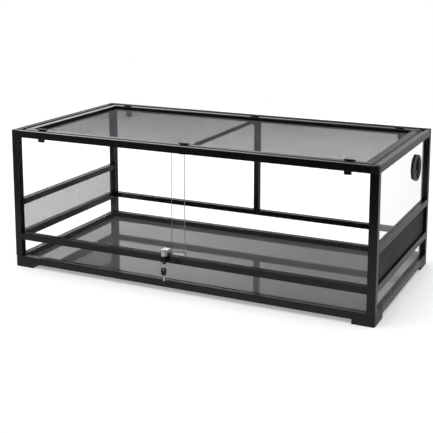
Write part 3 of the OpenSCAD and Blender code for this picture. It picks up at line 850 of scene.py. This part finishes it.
def woven(node, width, height, wire, coat, turn):
    """Crossed wires over a CAD mesh panel, turned from the XY plane into its own."""
    middle = span(node)[2]
    made = grown(
        link_mesh("wires_" + node, bpy.data.meshes.new(node)),
        WEAVE,
        {
            "Width": width,
            "Height": height,
            "Pitch": MESH_PITCH,
            "Wire Radius": wire,
            "Material": coat,
        },
    )
    made.data.transform(Matrix.Translation(middle) @ turn)
    finish_piece(made, node)


flat = Matrix.Identity(4)
upright = Matrix.Rotation(math.pi / 2, 4, "Z") @ Matrix.Rotation(math.pi / 2, 4, "X")
lid_size = span("lid_mesh")[3]
woven("lid_mesh", lid_size.x, lid_size.y, LID_WIRE, LID_COAT, flat)
for side in ("left", "right"):
    vent_size = span("vent_mesh_" + side)[3]
    woven("vent_mesh_" + side, vent_size.y, vent_size.z, VENT_WIRE, VENT_COAT, upright)

# ---------------------------------------------------------------- cable port

PORT_AXIS = Vector((1, 0, 0))
PORT_ROUND = 0.5 * MM
BEAD_INSET = 2.6 * MM  # of the flange's bead from its rim
BEAD_RADIUS = 2.5 * MM
RIDGES = [17 * MM, 25 * MM, 33 * MM]  # radii of the ridges round the cover's middle
RIDGE_RADIUS = 2.2 * MM
KNOB = [(10, -1), (10, 1.5), (9.4, 2.9), (8, 3.9), (5.5, 4.6), (0, 4.9)]  # mm: radius, height
KNOB_SIDES = 40
BEAD_STEPS = 72
BEAD_SIDES = 10
SLOT_ANGLE = math.radians(36)  # the ridges end this far to each side of the cable slot


def around_port(angle):
    """The direction at an angle about the port's axis, from the back upwards."""
    return Vector((0, math.cos(angle), math.sin(angle)))


def arc_bead(name, middle, radius, thick, material, opening=0):
    """A round bead along a circle about the port, open by an angle each side of its foot."""
    whole = opening == 0
    rings = []
    for i in range(BEAD_STEPS if whole else BEAD_STEPS + 1):
        angle = -math.pi / 2 + opening + (math.tau - 2 * opening) * i / BEAD_STEPS
        ring = []
        for k in range(BEAD_SIDES):
            turn = math.tau * k / BEAD_SIDES
            out = around_port(angle) * (radius + thick * math.cos(turn))
            ring.append(middle + out + PORT_AXIS * thick * math.sin(turn))
        rings.append(ring)
    mesh = shell_mesh(name, rings, whole)
    mesh.shade_smooth()
    return link_mesh(name, mesh, material)


def turned_knob(name, middle, profile, material):
    """A round knob about the port's axis from a profile of radii and heights in mm."""
    rings = []
    for radius, height in profile:
        level = middle + PORT_AXIS * height * MM
        sides = KNOB_SIDES if radius else 1
        angles = [math.tau * k / KNOB_SIDES for k in range(sides)]
        rings.append([level + around_port(angle) * radius * MM for angle in angles])
    mesh = shell_mesh(name, rings)
    mesh.shade_smooth()
    return link_mesh(name, mesh, material)


def cable_port():
    """Flange with a rounded bead, and a turning cover with ridges and a knob."""
    # the flange and its bead are light grey, a painted highlight on black plastic
    rounded("port_flange", PORT_RIM_PAINTED_HIGHLIGHT, PORT_ROUND)
    rounded("port_nut", ABS, PORT_ROUND)
    # the cover and its ridges are a shade lighter than black, a painted highlight on the ridges
    rounded("port_cover", PORT_COVER_PAINTED_HIGHLIGHT, PORT_ROUND)
    _, high, middle, size = span("port_flange")
    face = Vector((high.x, middle.y, middle.z))
    bead_radius = size.y / 2 - BEAD_INSET
    bead = arc_bead("port_bead", face, bead_radius, BEAD_RADIUS, PORT_RIM_PAINTED_HIGHLIGHT)
    finish_piece(bead, "port_flange", in_place=False)
    for number, radius in enumerate(RIDGES, 1):
        name = "cover_ridge_%d" % number
        ridge = arc_bead(name, face, radius, RIDGE_RADIUS, PORT_COVER_PAINTED_HIGHLIGHT, SLOT_ANGLE)
        finish_piece(ridge, "port_cover", in_place=False)
    knob = turned_knob("cover_knob", face, KNOB, RUBBER)
    finish_piece(knob, "port_cover", in_place=False)


cable_port()

# ---------------------------------------------------------------- lock and keys

CASE_ROUND = 1.2 * MM
CASE_STEPS = 3
PLUG_ROUND = 0.2 * MM
KEY_HEAD_WIDTH = 17.5 * MM
KEY_HEAD_HEIGHT = 25 * MM
KEY_HEAD_THICK = 4.2 * MM
KEY_HEAD_ROUND = 0.9 * MM
HEAD_STEPS = 36
HEAD_SQUARE = 2.8  # power of the head's outline: 2 is an ellipse, more is squarer
HEAD_TAPER = 0.14  # the share by which the blade's end narrows and the outer end widens
HEAD_HOLE = 3.4 * MM  # radius
HOLE_STEPS = 20
HOLE_RISE = 6.5 * MM  # the hole's middle from the end of the head, as on the solids
BLADE_WIDTH = 6.2 * MM
BLADE_THICK = 1.8 * MM
BLADE_ROUND = 0.2 * MM
BLADE_BURIED = 3 * MM  # how far the blade starts inside its head
BLADE_POINT = 2.4 * MM
POINT_WIDTH = 1.2 * MM
KEY_CUTS = [1.6, 0.7, 1.9, 1.1, 2.1, 0.6]  # mm: depths of the blade's cuts, from the tip
FIRST_CUT = 3 * MM  # below the tip
CUT_REACH = 0.75  # the share of the blade that the cuts take up
CUT_SHARE = 0.4  # of a cut's pitch that is flat
BAR_THICK = 1.6 * MM
TOOTH_PITCH = 4 * MM
TOOTH_ROWS = 8
TOOTH_DEPTH = 1.5 * MM
SHALLOW = 0.75  # the share of that depth between two columns of teeth
NOTCH = 1.6 * MM
HOOK_THICK = 2 * MM
HOOK_LEG = 17 * MM  # how far the hook reaches back behind the inner door
FRONT_BEND = 0.4 * MM  # of the hook at the bar's end
BACK_BEND = 0.8 * MM  # of the hook behind the inner door
RING_WIRE = 0.85 * MM  # radius
RING_RADIUS = 10.8 * MM
RING_SHIFT = 1.5 * MM  # how far the ring hangs to the left in its plane
RING_TURNS = 2
RING_STEPS = 48  # in one turn
RING_TURN = math.radians(42)  # of the ring's plane from the tank's front


def flat_shape(name, outlines, thickness, soft, material):
    """A flat piece in X and Z from closed outlines, the later ones being holes."""
    data = bpy.data.curves.new(name, "CURVE")
    data.dimensions = "2D"
    data.fill_mode = "BOTH"
    data.extrude = thickness / 2 - soft
    data.bevel_depth = soft
    data.bevel_resolution = 2
    data.offset = -soft
    for outline in outlines:
        spline = data.splines.new("POLY")
        spline.points.add(len(outline) - 1)
        for point, (x, z) in zip(spline.points, outline):
            point.co = (x, z, 0, 1)
        spline.use_cyclic_u = True
    mesh = curve_mesh(name, data)
    mesh.transform(Matrix.Rotation(math.pi / 2, 4, "X"))
    work = bmesh.new()
    work.from_mesh(mesh)
    bmesh.ops.remove_doubles(work, verts=work.verts, dist=OUTLINE_MERGE)
    bmesh.ops.recalc_face_normals(work, faces=work.faces)
    work.to_mesh(mesh)
    work.free()
    return link_mesh(name, mesh, material)


def head_outline():
    """An egg-shaped head with flat flanks, its outer end at z = 0."""
    points = []
    for i in range(HEAD_STEPS):
        across = math.cos(math.tau * i / HEAD_STEPS)
        along = math.sin(math.tau * i / HEAD_STEPS)
        x = math.copysign(abs(across) ** (2 / HEAD_SQUARE), across)
        z = math.copysign(abs(along) ** (2 / HEAD_SQUARE), along)
        wide = x * KEY_HEAD_WIDTH / 2 * (1 - HEAD_TAPER * z)
        points.append((wide, (z + 1) * KEY_HEAD_HEIGHT / 2))
    return points


def hole_outline():
    """The round hole that the ring passes."""
    angles = [math.tau * i / HOLE_STEPS for i in range(HOLE_STEPS)]
    return [(HEAD_HOLE * math.cos(a), HOLE_RISE + HEAD_HOLE * math.sin(a)) for a in angles]


def blade_outline(root, tip):
    """A blade from root up to its tip, cut along one edge."""
    half = BLADE_WIDTH / 2
    pitch = (tip - root) * CUT_REACH / len(KEY_CUTS)
    z = tip - FIRST_CUT
    cuts = []
    for depth in KEY_CUTS:
        cuts.append((half - depth * MM, z))
        cuts.append((half - depth * MM, z - pitch * CUT_SHARE))
        z -= pitch
    point = [(POINT_WIDTH / 2, tip), (-POINT_WIDTH / 2, tip), (-half, tip - BLADE_POINT)]
    return [(-half, root), (half, root), *reversed(cuts), *point]


def dressed_key(node, upward):
    """A key: nickel blade with cuts and a black over-moulded head."""
    low, high, middle, size = span(node)
    outlines = [head_outline(), hole_outline()]
    head = flat_shape(node + "_head", outlines, KEY_HEAD_THICK, KEY_HEAD_ROUND, HEAD_PLASTIC)
    outlines = [blade_outline(KEY_HEAD_HEIGHT - BLADE_BURIED, size.z)]
    blade = flat_shape(node + "_blade", outlines, BLADE_THICK, BLADE_ROUND, NICKEL)
    foot = low.z if upward else high.z
    for made in (head, blade):
        if not upward:
            made.data.transform(Matrix.Rotation(math.pi, 4, "Y"))
        made.data.transform(Matrix.Translation((middle.x, middle.y, foot)))
        finish_piece(made, node)


def split_ring():
    """A ring of spring wire wound twice round."""
    middle = span("key_ring")[2]
    steps = RING_STEPS * RING_TURNS
    points = []
    for i in range(steps + 1):
        angle = math.tau * RING_TURNS * i / steps
        x = RING_RADIUS * math.cos(angle) - RING_SHIFT
        lift = (i / steps - 0.5) * 2 * RING_WIRE * (RING_TURNS - 0.5)
        points.append((x, lift, RING_RADIUS * math.sin(angle)))
    mesh = tube_mesh("split_ring", points, RING_WIRE)
    mesh.transform(Matrix.Translation(middle) @ Matrix.Rotation(RING_TURN, 4, "Z"))
    made = link_mesh("split_ring", mesh, NICKEL)
    finish_piece(made, "key_ring")


def toothed_bar():
    """The lock's stamped bar: teeth on its face that lean upwards, a notched upper
    edge, and the hook that is bent round the inner door's edge."""
    low, high, _, size = span("lock_bar")
    back = low.y + BAR_THICK
    count = int(size.x / (TOOTH_PITCH / 2))
    columns = []
    for i in range(count + 1):
        raised = i % 2 == 0
        x = low.x + size.x * i / count
        top = high.z if raised else high.z - NOTCH
        depth = TOOTH_DEPTH if raised else TOOTH_DEPTH * SHALLOW
        column = []
        for row in range(TOOTH_ROWS):
            foot = low.z + (top - low.z) * row / TOOTH_ROWS
            head = low.z + (top - low.z) * (row + 1) / TOOTH_ROWS
            column.extend([(x, low.y, foot), (x, low.y + depth, head)])
        column.extend([(x, back, top), (x, back, low.z)])
        columns.append(column)
    bar = link_mesh("toothed_bar", shell_mesh("toothed_bar", columns), CHROME)
    finish_piece(bar, "lock_bar")
    bend = [
        (high.x - HOOK_THICK, back),
        (high.x - FRONT_BEND, back),
        (high.x, back + FRONT_BEND),
        (high.x, high.y - BACK_BEND),
        (high.x - BACK_BEND, high.y),
        (high.x - HOOK_LEG, high.y),
        (high.x - HOOK_LEG, high.y - HOOK_THICK),
        (high.x - HOOK_THICK, high.y - HOOK_THICK),
    ]
    rings = [[(x, y, z) for x, y in bend] for z in (low.z, high.z)]
    hook = link_mesh("bar_hook", shell_mesh("bar_hook", rings), CHROME)
    finish_piece(hook, "lock_bar")


toothed_bar()
rounded("lock_case", CHROME, CASE_ROUND, CASE_STEPS)
rounded("lock_plug", CHROME, PLUG_ROUND)
dressed_key("key", upward=True)
dressed_key("spare_key", upward=False)
split_ring()

# ---------------------------------------------------------------- stage

PAPER_REACH = 2.2  # radius of the round paper
PAPER_SIDES = 72
PAPER_BACK = 1.0  # how far the middle of the round paper lies behind the tank's
PAPER_LIFT = 0.3  # brings the lit paper to white for the camera
PAPER_LIFT_THROUGH = 0.42  # and the paper that is seen through panes
PAPER_MIRRORED = 0.46  # how bright the paper is in reflections
SKY_LIGHT = 0.75  # what the world gives to matt surfaces
BEHIND_GLASS = 1.14  # keeps the backdrop white behind two panes
SUN_LIGHT = 0.75  # W per square metre
SUN_SPREAD = 60  # degrees
SUN_FALLS = Vector((0.35, 0.3, -1.0))  # the way that its light falls
BRIGHT_SIDE = Vector((-0.75, 0.66, 0.0))  # toward the studio's bright wall
# Brightness in reflections by how far a direction leans to the bright wall: dark
# in front and to the right, brightest behind on the left
WALL_STEPS = [
    (-0.45, 0.0),
    (-0.16, 0.05),
    (-0.05, 0.26),
    (0.48, 0.7),
    (0.76, 0.6),
    (0.83, 0.68),
    (0.9, 1.15),
    (1.0, 1.9),
]
# A ramp holds colours up to 1, so it holds the steps as shares of the highest
WALL_PEAK = max(value for _, value in WALL_STEPS)
WALL_TOP = (0.33, 0.5)  # the wall fades over these heights of a direction
CEILING = 0.35  # share of the wall's brightness that is left above it


def ray_kinds(tree):
    """0 or 1 sockets for rays that have been mirrored, for rays that the camera sees
    straight, and for rays that passed a clear pane."""
    ray = add_node(tree, "ShaderNodeLightPath").outputs
    bounced = add_node(
        tree, "ShaderNodeMath", {1: 0.5}, {0: ray["Glossy Depth"]}, operation="GREATER_THAN"
    ).outputs[0]
    return bounced, ray["Is Camera Ray"], ray["Is Transmission Ray"]


def studio_paper():
    """White seamless paper: takes the object's shadow and shows as white."""
    made, tree, out = new_material("studio_paper")
    bounced, straight, through = ray_kinds(tree)
    direct = add_node(
        tree, "ShaderNodeMath", {1: PAPER_LIFT}, {0: straight}, operation="MULTIPLY"
    )
    lifted = add_node(
        tree,
        "ShaderNodeMix",
        {"B": PAPER_LIFT_THROUGH},
        {"Factor": through, "A": direct.outputs[0]},
        data_type="FLOAT",
    )
    paper = add_node(tree, "ShaderNodeBsdfDiffuse", {"Color": linear("#f7f7f7")})
    lift = add_node(tree, "ShaderNodeEmission", links={"Strength": lifted.outputs["Result"]})
    both = add_node(tree, "ShaderNodeAddShader")
    tree.links.new(paper.outputs["BSDF"], both.inputs[0])
    tree.links.new(lift.outputs["Emission"], both.inputs[1])
    mirrored = add_node(tree, "ShaderNodeEmission", {"Strength": PAPER_MIRRORED})
    mix = add_node(tree, "ShaderNodeMixShader", links={"Fac": bounced})
    tree.links.new(both.outputs["Shader"], mix.inputs[1])
    tree.links.new(mirrored.outputs["Emission"], mix.inputs[2])
    tree.links.new(mix.outputs["Shader"], out.inputs["Surface"])
    return made


def make_stage():
    """A round sheet of paper under the tank, mostly behind it."""
    rim = []
    for i in range(PAPER_SIDES):
        angle = math.tau * i / PAPER_SIDES
        y = PAPER_BACK + PAPER_REACH * math.sin(angle)
        rim.append((PAPER_REACH * math.cos(angle), y, 0))
    mesh = bpy.data.meshes.new("paper")
    mesh.from_pydata(rim, [], [tuple(range(PAPER_SIDES))])
    link_mesh("paper", mesh, studio_paper())


def mirrored_wall(tree):
    """The studio's brightness in reflections: one bright wall, and dimmer above it."""
    toward = add_node(tree, "ShaderNodeTexCoord").outputs["Generated"]
    height = add_node(tree, "ShaderNodeSeparateXYZ", links={"Vector": toward}).outputs["Z"]
    lean = add_node(
        tree, "ShaderNodeVectorMath", {1: BRIGHT_SIDE}, {0: toward}, operation="DOT_PRODUCT"
    )
    along = add_node(
        tree,
        "ShaderNodeMapRange",
        {"From Min": -1.0, "From Max": 1.0, "To Min": 0.0, "To Max": 1.0},
        {"Value": lean.outputs["Value"]},
    )
    shares = add_node(
        tree,
        "ShaderNodeValToRGB",
        links={"Fac": along.outputs["Result"]},
        stops=[((at + 1) / 2, grey(value / WALL_PEAK)) for at, value in WALL_STEPS],
    )
    wall = add_node(
        tree,
        "ShaderNodeMath",
        {1: WALL_PEAK},
        {0: shares.outputs["Color"]},
        operation="MULTIPLY",
    )
    fade = add_node(
        tree,
        "ShaderNodeMapRange",
        {"From Min": WALL_TOP[0], "From Max": WALL_TOP[1], "To Min": 1.0, "To Max": CEILING},
        {"Value": height},
    )
    return add_node(
        tree,
        "ShaderNodeMath",
        links={0: wall.outputs[0], 1: fade.outputs["Result"]},
        operation="MULTIPLY",
    ).outputs[0]


def make_world():
    """A studio that is white to the camera and through the panes, even on matt
    surfaces, and in reflections bright on one side and dark on the other."""
    world = bpy.data.worlds.new("studio")
    world.use_nodes = True
    tree = world.node_tree
    tree.nodes.clear()
    bounced, straight, through = ray_kinds(tree)
    wall = mirrored_wall(tree)
    light = add_node(
        tree,
        "ShaderNodeMix",
        {"A": SKY_LIGHT, "B": BEHIND_GLASS},
        {"Factor": through},
        data_type="FLOAT",
    )
    plain = add_node(
        tree,
        "ShaderNodeMix",
        {"B": 1.0},
        {"Factor": straight, "A": light.outputs["Result"]},
        data_type="FLOAT",
    )
    seen = add_node(
        tree,
        "ShaderNodeMix",
        links={"Factor": bounced, "A": plain.outputs["Result"], "B": wall},
        data_type="FLOAT",
    )
    back = add_node(
        tree,
        "ShaderNodeBackground",
        {"Color": (1, 1, 1, 1)},
        {"Strength": seen.outputs["Result"]},
    )
    out = tree.nodes.new("ShaderNodeOutputWorld")
    tree.links.new(back.outputs["Background"], out.inputs["Surface"])
    bpy.context.scene.world = world


def make_sun():
    """A large even lamp overhead."""
    data = bpy.data.lights.new("overhead", "SUN")
    data.energy = SUN_LIGHT
    data.angle = math.radians(SUN_SPREAD)
    made = bpy.data.objects.new("overhead", data)
    made.rotation_euler = SUN_FALLS.to_track_quat("-Z", "Y").to_euler()
    bpy.context.collection.objects.link(made)


make_stage()
make_world()
make_sun()
make_camera()
